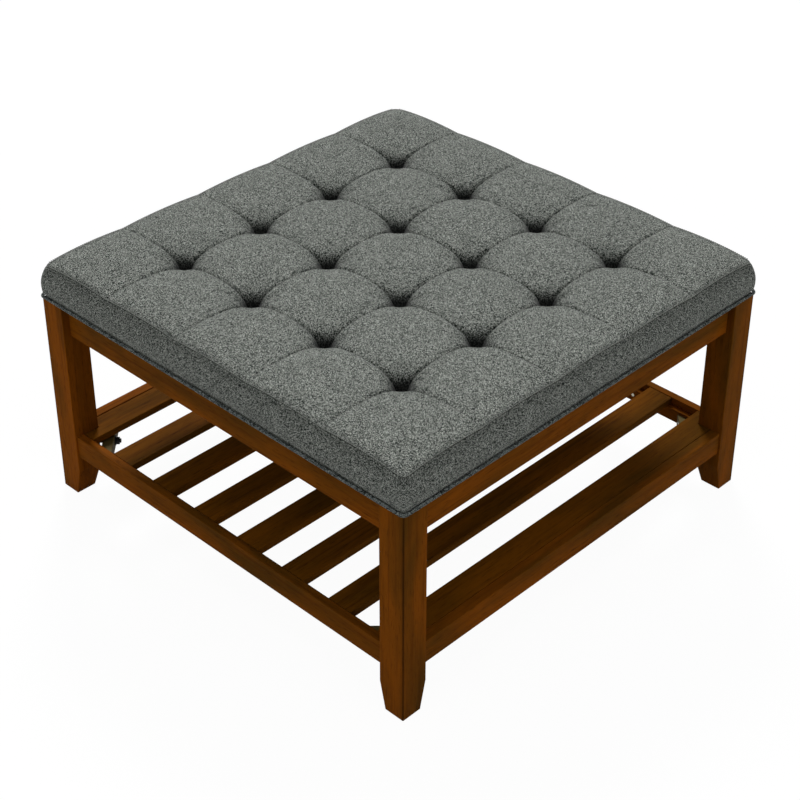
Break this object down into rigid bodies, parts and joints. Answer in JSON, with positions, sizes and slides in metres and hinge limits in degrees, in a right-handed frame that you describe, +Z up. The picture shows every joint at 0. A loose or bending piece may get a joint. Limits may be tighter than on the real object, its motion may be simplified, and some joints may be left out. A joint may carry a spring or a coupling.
{
  "type": "ottoman coffee table",
  "caption": "Square upholstered ottoman coffee table with a blind-tufted boxed cushion, piped foot seam, square tapered legs and a slatted lower shelf",
  "frame": {"origin": "on the floor, under the middle of the table", "axes": "+Z up; the shelf's slats run along X, from the left rail (-X) to the right rail (+X); -Y is the front"},
  "size_m": [0.89, 0.89, 0.4904],
  "materials": {
    "frame_wood": "stained, satin lacquer",
    "slat_wood": "stained, satin lacquer",
    "plywood": "bare",
    "board_plywood": "bare",
    "cover_fabric": "heathered plain weave",
    "piping_fabric": "heathered plain weave",
    "foam": "open cell foam",
    "dust_cloth": "non-woven cloth",
    "tie_cord": "twisted thread",
    "anchor_plastic": "matte",
    "bolt_steel": "black oxide, satin",
    "screw_steel": "zinc plated",
    "staple_steel": "galvanised"
  },
  "bodies": {
    "root": {"apron_back": "frame_wood", "apron_front": "frame_wood", "apron_left": "frame_wood", "apron_right": "frame_wood", "boxing_band": "cover_fabric", "cleat_left": "frame_wood", "cleat_right": "frame_wood", "cleat_screws": "screw_steel", "cover_staples": "staple_steel", "dust_cover": "dust_cloth", "foam_pad": "foam", "leg_back_left": "frame_wood", "leg_back_right": "frame_wood", "leg_front_left": "frame_wood", "leg_front_right": "frame_wood", "lower_block_back_left": "plywood", "lower_block_back_right": "plywood", "lower_block_front_left": "plywood", "lower_block_front_right": "plywood", "lower_block_screws": "screw_steel", "lower_leg_bolts": "bolt_steel", "lower_nuts": "bolt_steel", "lower_washers": "bolt_steel", "piping": "piping_fabric", "rail_back": "frame_wood", "rail_front": "frame_wood", "rail_left": "frame_wood", "rail_right": "frame_wood", "seat_board": "board_plywood", "slat_1": "slat_wood", "slat_2": "slat_wood", "slat_3": "slat_wood", "slat_4": "slat_wood", "slat_5": "slat_wood", "slat_6": "slat_wood", "slat_7": "slat_wood", "slat_8": "slat_wood", "slat_screws": "screw_steel", "top_panel": "cover_fabric", "top_screws": "screw_steel", "tuft_anchors": "anchor_plastic", "tuft_ties": "tie_cord", "upper_block_back_left": "plywood", "upper_block_back_right": "plywood", "upper_block_front_left": "plywood", "upper_block_front_right": "plywood", "upper_block_screws": "screw_steel", "upper_leg_bolts": "bolt_steel", "upper_nuts": "bolt_steel", "upper_washers": "bolt_steel"}
  },
  "joints": []
}
